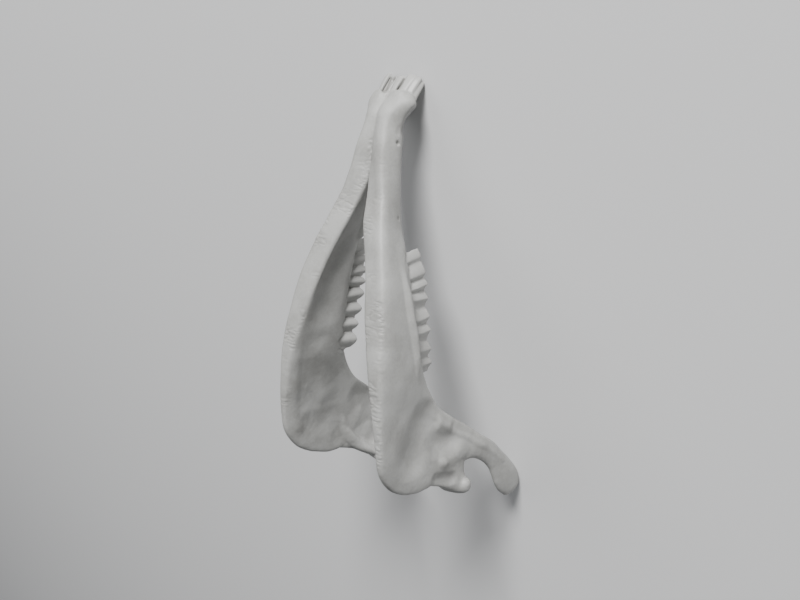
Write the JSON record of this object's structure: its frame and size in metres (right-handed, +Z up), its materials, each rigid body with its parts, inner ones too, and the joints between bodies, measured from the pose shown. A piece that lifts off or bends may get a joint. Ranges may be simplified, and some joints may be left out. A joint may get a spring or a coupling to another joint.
{
  "type": "goat lower jaw",
  "caption": "Life-size lower jaw of a goat: long bones that meet in front, with cheek teeth, front teeth and hooked coronoid processes, lying teeth down.",
  "frame": {"origin": "centre of the bounding box, on the table under the turned-over jaw", "axes": "+Z up, which is away from the teeth; -Y towards the front teeth; +X towards the animal's right side"},
  "size_m": [0.074, 0.2064, 0.0827],
  "materials": {
    "bone": "dry bone and tooth enamel, pale grey, satin"
  },
  "bodies": {
    "root": {"mandible_left": "bone", "mandible_right": "bone"}
  },
  "joints": []
}
